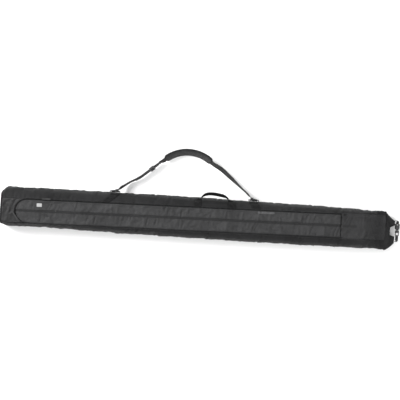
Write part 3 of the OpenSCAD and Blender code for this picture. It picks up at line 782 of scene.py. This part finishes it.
def tip_front():
    """The front beyond the flap; its near edge is a hem that goes down under the flap's end."""
    xs = span(FLAP_END + 1.5, TIP + 5, 3.6)
    rows = 38
    lap = .034                         # the panel's overlap on each gusset, as a share of its width

    def at(i, j, d):
        x = xs[i]
        f = mix(-lap, 1 + lap, j / (rows - 1))
        t = HIGH + f * (FRONT_END - HIGH)
        e = min(f + lap, 1 + lap - f) * PANEL_W
        sy = FLAP_Y + FLAP_R - f * PANEL_W
        groove = 1.4 * math.exp(-((sy - STRIP_Y) / 5.5) ** 2) * ease((740 - x) / 60)
        swell = 0.9 * ease(min(e, 16) / 16)
        start = ease((x - FLAP_END) / 6)
        hem = 3.0 * (1 - ease((x - FLAP_END - 2) / 6.5))
        return place(x, t, d + hem + groove - swell * start + .5 * (1 - ease(e / 2.6)) - .3, e + 1)

    # the tip wears the front's cloth painted darker, as painted shade
    ob = closed_sheet("tip_front_cloth", len(xs), rows, at, (0, FABRIC_T), "tip",
                      lambda i, j: (xs[i] * MM, j * 3.2 * MM))
    finish_piece(ob, "bag", ("tip_panel",))
    routes = [[(at(i, j, -.35), UP) for i in range(len(xs) - 2)] for j in (3, rows - 4)]
    stitches("tip_front_stitches", routes, "thread", "bag")

    def laid(name, cad, sx0, sx1, y0, y1, lift, mat):
        """A tape lying on the tip's cloth, between two lines of the seam frame."""
        n, m = max(8, int((sx1 - sx0) / 4)), 7

        def on(i, j, up):
            sx, sy = mix(sx0, sx1, i / n), mix(y0, y1, j / (m - 1))
            x, y = bag_frame(sx, sy)
            u = clamp((x - xs[0]) / (xs[-1] - xs[0])) * (len(xs) - 1)
            f = (seam(HINGE_Y + PANEL_W, x) - y) / PANEL_W
            v = clamp((f + lap) / (1 + 2 * lap)) * (rows - 1)
            a, b = int(min(u, len(xs) - 2)), int(min(v, rows - 2))
            low, high = [mix(at(c, b, -up), at(c, b + 1, -up), v - b) for c in (a, a + 1)]
            return mix(low, high, u - a)

        tape = closed_sheet(name, n + 1, m, on, (lift, -.3), mat,
                            lambda i, j: (i * 4 * MM, mix(y0, y1, j / (m - 1)) * MM))
        finish_piece(tape, "bag", (cad,))

    laid("tip_strip_tape", "tip_strip", FLAP_END + 11, 712, STRIP_Y - 5, STRIP_Y + 5, 0.5, "strip")
    laid("zip_end_patch", "zip_end_tab", FLAP_END + 11, 664, 43, 52, 1.1, "tape")


tip_front()

# Bead along the lower seam, where the flap folds
bead = [Vector((*bag_frame(sx, HINGE_Y), BAG_H - 1)) * MM for sx in span(-812, FLAP_END + 10, 7)]
finish_piece(tube("hinge_piping", bead, BEAD_R, "tape", ring=10, wobble=.2), "bag",
             ("lower_piping",))


# ---- Tail end ----

def tail_end():
    """The end cap, slack in its middle, in rings of x and share of its outline, and the bead round it."""
    cy, cz = -3.0, BAG_H / 2
    rings = [(-918.0, 1.0), (-921.0, .995), (-923.4, .975), (-924.7, .945), (-925.3, .90), (-925.6, .84),
             (-926.0, .76), (-926.2, .66), (-926.3, .55), (-926.4, .44), (-926.5, .33), (-926.5, .22),
             (-926.5, .12), (-926.5, .03)]
    n = 96
    verts, uvs = [], []
    for k, (x, f) in enumerate(rings):
        for j in range(n):
            t = 20 * j / n
            y, z = shell_yz(BODY_START, t)
            dent = 3.4 * noise.noise(Vector((f * y / 34, f * z / 26, 41))) * ease((1 - f) / .3)
            dent += 1.6 * ridged(Vector((f * y / 50, f * (z + y) / 30, 44))) * ease((1 - f) / .3)
            puck = 1.0 * noise.noise(Vector((t * 3.1, x / 9, 43))) * (f < .99) * ease((f - .8) / .15)
            verts.append(Vector((x + dent, mix(cy, y, f), mix(cz, z, f + puck * .012))) * MM)
            uvs.append((mix(cy, y, f) * MM, mix(cz, z, f) * MM))
    middle = tuple((len(rings) - 1) * n + j for j in range(n))
    ob = make("tail_end_cloth", verts, ring_faces(len(rings), n, caps=False) + [middle], "tail", uvs)
    fix_normals(ob)
    solid = ob.modifiers.new("thickness", "SOLIDIFY")
    solid.thickness = 0.0014
    solid.offset = -1
    finish_piece(ob, "bag", ("end_panel",))
    rim = []
    for j in range(n + 1):
        y, z = shell_yz(BODY_START, 20 * (j % n) / n)
        rim.append(Vector((-918.6, mix(cy, y, 1.008), max(1.7, mix(cz, z, 1.006)))) * MM)
    finish_piece(tube("tail_piping", rim, BEAD_R, "tape"), "bag")


tail_end()


# ---- Lining and foam: one padded layer in the bag, one in the flap ----

def bag_lining():
    """Its outer face follows the shell's cloth; its inner face is quilted and thins out to the rims."""
    first, last = 0.9, 15.1            # places of its two rims
    xs = span(-911, 742, 7)
    ts = [mix(first, last, j / 62) for j in range(63)]

    def at(i, j, inside):
        x, t = xs[i], ts[j]
        if inside:
            quilt = 0.7 * math.cos(x / 40 * math.pi) * math.cos((t - 8) * 1.1)
            rim = ease(min(t - first, last - t))
            return place(x, t, 8.4 - 4.2 * (1 - rim) - quilt * rim, 6.0, 0.3)
        edge = 20
        if t < BACK_LOW:
            edge = min(t - LOW, BACK_LOW - t) * PLACE_MM
        elif t > BACK_HIGH:
            edge = min(t - BACK_HIGH, HIGH - t) * PLACE_MM
        return place(x, t, 3.4, min(edge, 20), 1.0)

    ob = closed_sheet("lining_padded", len(xs), len(ts), at, (False, True), "lining",
                      lambda i, j: (xs[i] * MM, ts[j] * PLACE_MM * MM))
    finish_piece(ob, "bag", ("lining_lower", "lining_back", "lining_upper", "back_foam",
                                              "upper_foam", "lower_foam", "end_foam"))


bag_lining()


def flap_lining():
    r = FLAP_R - 14
    rows = 24
    xs = [FLAP_START - r + r * (1 - math.cos(math.pi / 2 * i / 12)) for i in range(12)]
    xs += span(FLAP_START, FLAP_END, 6)

    def at(i, j, inside):
        sx = xs[i]
        e = max(d_edge(sx, r), .2)
        sy = FLAP_Y + mix(-e, e, j / (rows - 1))
        if not inside:
            return front(sx, sy, 3.6, 20.0, 1.0)
        rim = min(d_distance(sx, sy, r), FLAP_END - sx)
        quilt = 0.6 * math.cos(sx / 40 * math.pi) * math.cos((sy - FLAP_Y) / 18)
        return front(sx, sy, 9.6 + quilt * ease(rim / 8) - 3.4 * (1 - ease(rim / 6)), 8.0, 0.3)

    ob = closed_sheet("flap_lining_padded", len(xs), rows, at, (False, True), "lining",
                      lambda i, j: (xs[i] * MM, j * 4 * MM))
    finish_piece(ob, FLAP_BEND, ("flap_foam", "flap_lining"))


flap_lining()


# ---- Zip ----
ZIP_Z = BAG_H - 2.1


def zip_line(r, pitch, phase=0.0):
    """Points along the zip at radius r of the D, in the seam frame, each with the way across it."""
    curve = FLAP_R * (ZIP_LAST - math.pi / 2)
    out = []
    s = phase
    while s < curve + FLAP_END - FLAP_START:
        if s < curve:
            a = ZIP_LAST - s / FLAP_R
            out.append((FLAP_START + r * math.cos(a), FLAP_Y + r * math.sin(a), math.cos(a), math.sin(a)))
        else:
            out.append((FLAP_START + s - curve, FLAP_Y + r, 0.0, 1.0))
        s += pitch
    return out


def zip_tape(name, r0, r1, body, cad):
    """One side's tape, from radius r0 to r1; the flap's stays under the flap's cloth."""
    line0, line1 = zip_line(r0, 5), zip_line(r1, 5)
    count = min(len(line0), len(line1))

    def at(i, j, d):
        f = j / 3
        sx, sy = mix(line0[i][0], line1[i][0], f), mix(line0[i][1], line1[i][1], f)
        x, y = bag_frame(sx, sy)
        level = (ZIP_Z - 1.2 - d) * MM
        under = front(sx, sy, 2.4 + d, 4.0).z if body == FLAP_BEND else level
        return Vector((x * MM, y * MM, min(level, under)))

    ob = closed_sheet(name, count, 4, at, (0, .6), "tape", lambda i, j: (i * 5 * MM, j * 3 * MM))
    finish_piece(ob, body, (cad,))


def zip_teeth(name, r, phase, body, cad):
    verts, faces = [], []
    for sx, sy, nx, ny in zip_line(r, TOOTH_PITCH, phase):
        x, y = bag_frame(sx, sy)
        across = Vector(bag_frame(nx, ny) + (0.0,))
        run = Vector((-across.y, across.x, 0))
        faces += ring_faces(4, 6, len(verts))
        for along, size in ((-1.25, .55), (-.75, 1.0), (.75, 1.0), (1.25, .55)):
            for a in range(6):
                ang = math.pi / 3 * a
                verts.append((Vector((x, y, ZIP_Z)) + across * along + run * (.5 * size * math.cos(ang))
                              + UP * (1.05 * size * math.sin(ang))) * MM)
    ob = make(name, verts, faces, "coil")
    fix_normals(ob)
    finish_piece(ob, body, (cad,))


TOOTH_PITCH = 2.4
zip_tape("zip_tape_outer", FLAP_R + .3, FLAP_R + 5, "bag", "zip_tape_bag")
zip_tape("zip_tape_inner", FLAP_R - 9, FLAP_R - .3, FLAP_BEND, "zip_tape_flap")
zip_teeth("zip_teeth_outer", FLAP_R + 1.3, 0.0, "bag", "zip_coil_bag")
zip_teeth("zip_teeth_inner", FLAP_R - 1.3, TOOTH_PITCH / 2, FLAP_BEND, "zip_coil_flap")


# ---- Hard pieces: the CAD shapes with eased edges ----

def eased(cad, body, mat, width):
    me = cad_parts[cad].data.copy()
    me.materials.clear()
    me.materials.append(M[mat])
    ob = add_object(cad + "_moulded", me)
    bm = bmesh.new()
    bm.from_mesh(me)
    bmesh.ops.remove_doubles(bm, verts=bm.verts, dist=1e-6)
    bmesh.ops.dissolve_limit(bm, angle_limit=math.radians(2), verts=bm.verts, edges=bm.edges)
    bm.to_mesh(me)
    bm.free()
    bevel = ob.modifiers.new("eased", "BEVEL")
    bevel.width = width
    bevel.segments = 3
    bevel.limit_method = "ANGLE"
    bevel.angle_limit = math.radians(35)
    me.polygons.foreach_set("use_smooth", [True] * len(me.polygons))
    weighted = ob.modifiers.new("shading", "WEIGHTED_NORMAL")
    weighted.keep_sharp = False
    return finish_piece(ob, body, (cad,))


for cad, body in (("anchor_ring_left", "bag"), ("anchor_ring_right", "bag"), ("triglide", "glide"),
                  ("buckle_female", "bag"), ("buckle_male", "buckle_male"), ("buckle_prong_a", "prong_a"),
                  ("buckle_prong_b", "prong_b")):
    eased(cad, body, "plastic", 0.0007)
for cad in ("main_slider", "main_pull", "corner_slider", "corner_pull"):
    eased(cad, cad, "metal", 0.00035)
for cad in ("strap_loop_left", "strap_loop_right"):
    eased(cad, "strap", "webbing", 0.0005)
eased("roll_stiffener", "bag", "plastic", 0.0005)


def patch(name, cad, sx, sy, w, h, thick, mat, radius):
    """A plain raised patch with round corners, w by h, that follows the flap's cloth."""
    n, m = 16, 10
    swell = 0.9                        # as the flap's bands

    def at(i, j, top):
        u, v = i / (n - 1), j / (m - 1)
        px, py = sx + w * u, sy + h * v
        rim = min(u * w, (1 - u) * w, v * h, (1 - v) * h)
        cx = clamp(px, sx + radius, sx + w - radius)
        cy = clamp(py, sy + radius, sy + h - radius)
        off = math.hypot(px - cx, py - cy)
        if off > radius:
            px, py = cx + (px - cx) * radius / off, cy + (py - cy) * radius / off
        base = front(px, py, 0, 20.0, 1.0, swell)
        flat = front(sx + w / 2, sy + h / 2, 0, 20.0, 1.0, swell)
        level = max(base.z, flat.z) if w < 40 else base.z
        drop = thick * (1 - math.sqrt(clamp(rim / thick * 1.3))) * .8
        return Vector((base.x, base.y, level + (thick - drop + .2 if top else -.6) * MM))

    ob = closed_sheet(name, n, m, at, (True, False), mat, lambda i, j: (i * 2 * MM, j * 2 * MM))
    finish_piece(ob, "flap", (cad,))


patch("badge_patch", "badge", -757, 17, 25, 16, 1.3, "badge", 3.0)
patch("label_patch", "label_tab", 257, 34, 80, 10, 0.9, "label", 1.0)


# ---- Roll ----

def roll():
    """The rolled mouth, bent into a C: rings round the space between an inner and an outer outline."""
    inner = [(894.5, 24), (884, 20), (876, 15), (874.5, 6), (874, -3), (874.5, -12), (876, -19), (885, -23),
             (894.5, -25)]
    outer = [(894.5, 45), (880, 57), (864, 71), (846, 86), (834, 40), (834, -40), (847, -90), (872, -80),
             (894.5, -58)]
    top, base = SLIT_TOP + .2, SLIT_BASE - .3
    n, ring = 150, 56
    verts, uvs = [], []
    for i in range(n + 1):
        s = i / n * (len(inner) - 1)
        a, b = on_spline(inner, s), on_spline(outer, s)
        for j in range(ring):
            ang = 2 * math.pi * j / ring
            c, q = math.cos(ang), math.sin(ang)
            f = .5 - .5 * math.copysign(abs(c) ** .75, c)
            up = math.copysign(abs(q) ** .62, q)
            turns = 1.9 * abs(math.sin(f * math.pi * 2.6 + .5 + .5 * math.sin(s * 2.1))) ** .5 * abs(q)
            fan = s * 2.6 + 0.8 * f * math.sin(s * 1.7)
            pull = 2.6 * noise.noise(Vector((fan, f * 0.9, 51 + q)))
            pull += 1.7 * ridged(Vector((fan * 1.6, f * .6, 57)))
            z = mix(base, top, .5 + .5 * up) + (turns + pull - 2.4) * math.copysign(min(1, abs(q) * 2), q)
            end = min(i, n - i) / 3
            pinch = 1 - .25 * (1 - ease(end))
            z = mix((top + base) / 2, z, pinch)
            verts.append(Vector((mix(a[0], b[0], f), mix(a[1], b[1], f), z)) * MM)
            uvs.append((s * 18 * MM, f * 30 * MM))
    # the roll wears the darkest cloth, painted shade for its folds
    ob = make("roll_cloth_painted_shade", verts, ring_faces(n + 1, ring), "roll", uvs)
    fix_normals(ob)
    finish_piece(ob, "bag", ("roll_top",))


roll()


# ---- Webbing pieces ----

def buckle_point(u, y, w):
    """A point in the buckle's tilted frame, in metres."""
    c, s = math.cos(BUCKLE_TILT), math.sin(BUCKLE_TILT)
    return Vector((BUCKLE_X + u * c + w * s, y, BUCKLE_Z - u * s + w * c)) * MM


def buckle_web(name, ys, cad):
    """Webbing from the buckle to the roll: along the buckle's axis, then turned back to the roll's end."""
    points = [buckle_point(0, y, 0) for y in ys]
    last = points[-1]
    way = math.copysign(1, ys[-1])
    turn = [last + Vector((-.0055, .0030 * way, 0)), last + Vector((-.0145, .0036 * way, 0))]
    wide = buckle_point(1, 0, 0) - buckle_point(0, 0, 0)
    wides = [wide] * len(points) + [mix(wide.normalized(), -UP, .5), -UP]
    ob = swept(name, points + turn, wides, .010, .0009, "webbing", ring=14)
    finish_piece(ob, "bag", (cad,))
    return ob


buckle_web("roll_web_upper", span(29.5, 43.5, 2), "web_tab_upper")
lower_web = buckle_web("roll_web_lower", span(-21.9, -46, 2), "web_tab_lower")
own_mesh(lower_web)

# The strap's stations: x, y, z of its middle, and its tilt in degrees
STRAP_LEFT = [(-398, 104.5, 51.5, 50), (-392, 109.5, 45.5, 54), (-383, 115, 39, 62), (-365, 127, 28, 74),
              (-340, 145, 21.5, 78), (-313, 160, 23, 77), (-288, 176, 24.5, 76), (-270, 191.2, 24.5, 76),
              (-247, 210.6, 24.5, 76), (-211, 241, 24.5, 76), (-206, 245.2, 24.5, 76)]
STRAP_RIGHT = [(80, 231, 22, 60), (120, 199, 19, 64), (165, 161, 19.5, 76), (191, 139, 22, 80),
               (212, 121, 36, 72), (226, 109.5, 47.8, 61), (230.5, 106, 51, 56)]
STRAP_DOUBLED = [(-316, 158, 23, 77), (-300, 167.5, 23.8, 76.5), (-288, 176, 24.5, 76),
                 (-270, 191.2, 24.5, 76), (-250, 208, 24.5, 76), (-216, 236.8, 24.5, 76)]
PAD_X, PAD_Y, PAD_R, PAD_Z, PAD_TILT = -76, 138, 163, 28.5, 64
PAD_SPAN, PAD_PLAY = 39.6, 5.0         # in degrees: half the pad, and how far it slides


def arc(a):
    """A station of the strap at a degrees round the pad's curve."""
    r = math.radians(a)
    return (PAD_X + PAD_R * math.cos(r), PAD_Y + PAD_R * math.sin(r), PAD_Z, PAD_TILT)


STRAP_ARC = [arc(mix(90 + PAD_SPAN + PAD_PLAY, 90 - PAD_SPAN - PAD_PLAY, i / 16)) for i in range(17)]


def route_frames(route, per=5, offset=0.0):
    """Points and width directions along a strap's stations, smoothed, offset mm off to one face."""
    dense = [on_spline(route, k / per) for k in range((len(route) - 1) * per + 1)]
    points = [Vector(p[:3]) * MM for p in dense]
    tans = frames_along(points)
    wides, moved = [], []
    for p, q, t in zip(points, dense, tans):
        side = Vector((-t.y, t.x, 0)).normalized()
        up = t.cross(side)
        a = math.radians(q[3])
        wides.append(side * math.cos(a) + up * math.sin(a))
        moved.append(p + (up * math.cos(a) - side * math.sin(a)) * offset * MM)
    return moved, wides


def strap():
    points, wides = route_frames(STRAP_LEFT + STRAP_ARC + STRAP_RIGHT)
    last = len(points) - 1
    # at each end the web turns until it lies along its ring's bar, in so many steps
    turn = 12
    bars = [Vector((math.copysign(1, wides[i].x), 0, 0)) for i in (turn, last - turn)]
    for i in range(turn):
        near = 1 - ease(i / turn)
        wides[i] = mix(wides[i], bars[0], near).normalized()
        wides[last - i] = mix(wides[last - i], bars[1], near).normalized()

    def half(i):
        """Half the web's width: gathered at the rings, full beyond them."""
        return mix(9.0, WEB_W / 2, ease((min(i, last - i) - 4) / 14)) * MM

    web = swept("strap_webbing", points, wides, half, WEB_T / 2 * MM, "webbing", ring=16)
    finish_piece(web, "strap", ("strap_web",))
    points, wides = route_frames(STRAP_DOUBLED, 5, WEB_T + .2)
    tail = swept("strap_tail_webbing", points, wides, WEB_W / 2 * MM, WEB_T / 2 * MM, "webbing", ring=16)
    finish_piece(tail, "strap", ("strap_tail",))


strap()


# ---- Shoulder pad ----

def pad():
    n = 64
    binding_in = .0058                 # from the pad's edge to its stitching
    stations = [arc(mix(90 + PAD_SPAN, 90 - PAD_SPAN, i / n)) for i in range(n + 1)]
    points, wides = route_frames(stations, 1)

    def end_distance(i):
        return min(i, n - i) * 2 * PAD_SPAN / n / 57.3 * PAD_R

    def half(i):
        e = end_distance(i)
        return (29.0 - 8.0 * (1 - math.sqrt(clamp(1 - (1 - clamp(e / 16)) ** 2)))) * MM

    def rise(i, cw, ck):
        e = end_distance(i)
        crown = math.sqrt(clamp(1.06 - cw * cw * .86)) * (.55 + .45 * ease(e / 18))
        ribs = .055 * math.cos(e / 9 * math.pi) * (abs(cw) < .8)
        seam_line = -.2 * math.exp(-((abs(cw) - .8) / .05) ** 2)
        return crown + ribs + seam_line + .06 * noise.noise(points[i] * 40 + Vector((0, 0, cw)))

    ob = swept("pad_cushion", points, wides, half, 0.0058, "pad", ring=48, square=.55, bulge=rise)
    finish_piece(ob, "pad", ("pad_face", "pad_back"))
    tans = frames_along(points)
    for side, sign in (("upper", 1), ("lower", -1)):
        rim = [p + w * (half(i) - .0006) * sign for i, (p, w) in enumerate(zip(points, wides))]
        outwards = [t.cross(w) for t, w in zip(tans, wides)]
        piece = swept("pad_binding_" + side, rim, outwards, 0.0030, 0.0016, "tape", ring=10, square=.7)
        finish_piece(piece, "pad", ("pad_edges",) if sign > 0 else ())
    rows = []
    for face in (1, -1):
        for sign in (1, -1):
            row = []
            for i in range(3, n - 2):
                k = tans[i].cross(wides[i]) * face
                row.append((points[i] + wides[i] * (half(i) - binding_in) * sign + k * .0041, k))
            rows.append(row)
    stitches("pad_stitches", rows, "thread", "pad", pitch=4.0, length=2.7)


pad()


# ---- Tabs sewn on the upper gusset, and the handle ----

def tab_strip(name, cad, stations):
    """Webbing lying on the gusset; stations are place, x of its middle, half width and lift, smoothed."""
    n = (len(stations) - 1) * 8
    lift = .5 + TAB_T

    def at(i, j, up):
        t, x, half, off = on_spline(stations, i / 8)
        xx = x + mix(-half, half, j / 10)
        return place(xx, clamp(t, BACK_HIGH, HIGH), -up - off, 4.0)

    # the tabs wear the darker webbing, partly painted shade
    ob = closed_sheet(name, n + 1, 11, at, (lift, .4), "tab",
                      lambda i, j: (i * 2 * MM, mix(-19, 19, j / 10) * MM))
    finish_piece(ob, "bag", (cad,))

    def seam_line(i0, j0, i1, j1):
        """A straight row of stitches between two places of the grid."""
        line = []
        for k in range(13):
            i, j = mix(i0, i1, k / 12), mix(j0, j1, k / 12)
            t = mix(stations[0][0], stations[-1][0], i / n)
            line.append((at(i, j, lift + .1), shell_normal(stations[0][1], clamp(t, 0, HIGH))))
        return line

    # a box with a cross in it
    a, b = n * .35, n - 1
    box = [(a, 1, b, 1), (a, 9, b, 9), (b, 1, b, 9), (a, 1, a, 9), (a, 1, b, 9), (a, 9, b, 1)]
    stitches(name + "_stitches", [seam_line(*row) for row in box], "thread", "bag", pitch=3.4, length=2.3,
             radius=.38)


TAB_T = 1.6
tab_strip("anchor_tab_left_web", "anchor_tab_left",
          [(14.0, -404, 19, 2.2), (14.5, -410, 19, 0), (15.2, -427, 19, 0), (15.95, -452, 18.5, 0)])
tab_strip("anchor_tab_right_web", "anchor_tab_right",
          [(14.0, 236, 19, 2.2), (14.5, 239, 19, 0), (15.2, 246, 19, 0), (15.75, 250, 19, 0)])
tab_strip("handle_foot_left_web", "handle_foot_left",
          [(14.15, -12, 10, 5), (14.45, -17, 14, 0), (15.1, -20, 16, 0), (15.85, -21, 16, 0)])
tab_strip("handle_foot_right_web", "handle_foot_right",
          [(14.15, 127, 10, 5), (14.45, 132, 14, 0), (15.1, 136, 18, 0), (15.85, 137, 19, 0)])

HANDLE = [(-5, 95, 85, 74), (1, 102, 84, 74), (11, 109.5, 84, 72), (24, 114, 84, 70), (39, 115.5, 84, 69),
          (56, 115, 84, 68), (73, 113, 84, 69), (92, 110, 84, 70), (104, 106, 84, 73), (113, 101.5, 84, 75),
          (119, 95, 85, 74)]


def handle():
    """The handle's loop leans outwards a little; its webbing is folded narrow at both feet."""
    points, wides = route_frames(HANDLE, 8)
    last = len(points) - 1
    half_t = 0.0017
    web = swept("handle_webbing", points, wides, lambda i: mix(7, 18.5, ease(min(i, last - i) / 22)) * MM,
                half_t, "tab", ring=16)
    finish_piece(web, "handle", ("carry_handle",))
    tans = frames_along(points)
    rows = []
    for s in (1, -1):
        for f in (1, -1):
            faces = [tans[i].cross(wides[i]) * f for i in range(last + 1)]
            rows.append([(points[i] + wides[i] * s * .014 + faces[i] * half_t, faces[i])
                         for i in range(18, last - 17)])
    stitches("handle_stitches", rows, "thread", "handle", pitch=3.6, length=2.5)


handle()


# ---- Studio: camera, lights, floor ----
VIEW_X, VIEW_Y, VIEW_W, ROLL = -11.1, 84.0, 1844.0, math.radians(3.74)
CAM_H, FOCUS_Z, SENSOR = 9.0, 0.06, 36.0
FLOOR_HALF = 12.0


def camera():
    """Straight above the bag, so that VIEW_W mm of it fill the picture."""
    cam = bpy.data.cameras.new("camera")
    cam.sensor_width = SENSOR
    cam.lens = SENSOR * (CAM_H - FOCUS_Z) / (VIEW_W * MM)
    cam.clip_end = 60
    eye = add_object("camera", cam)
    eye.location = (VIEW_X * MM, VIEW_Y * MM, CAM_H)
    eye.rotation_euler = (0, 0, ROLL)
    bpy.context.scene.camera = eye


camera()
M["floor"] = material("floor_paper", grey(.86, 1.0), grey(.90, 1.0), (.8, .9), bump=.02, use_uv=False,
                      spec=.1)
corners = [(FLOOR_HALF * u, FLOOR_HALF * v, 0) for u, v in ((-1, -1), (1, -1), (1, 1), (-1, 1))]
floor = make("floor", corners, [(0, 1, 2, 3)], "floor", smooth=False)


def soft_light(name, loc, target, power, size_x, size_y):
    data = bpy.data.lights.new(name, "AREA")
    data.shape = "RECTANGLE"
    data.size, data.size_y = size_x, size_y
    data.energy = power
    ob = add_object(name, data)
    ob.location = loc
    ob.rotation_euler = (Vector(target) - Vector(loc)).to_track_quat("-Z", "Y").to_euler()


soft_light("key", (-3.4, 1.9, 2.9), (0, 0.05, 0), 300, 2.0, 2.0)
soft_light("fill", (2.8, -1.6, 3.6), (0, 0.05, 0), 90, 2.6, 2.0)
world = bpy.data.worlds.new("studio")
bpy.context.scene.world = world
world.use_nodes = True
sky = world.node_tree.nodes["Background"]
sky.inputs[0].default_value = (1, 1, 1, 1)
sky.inputs[1].default_value = 1.0
bpy.context.scene.view_settings.view_transform = "Standard"
bpy.context.scene.view_settings.look = "None"
bpy.context.scene.view_settings.exposure = 0.0
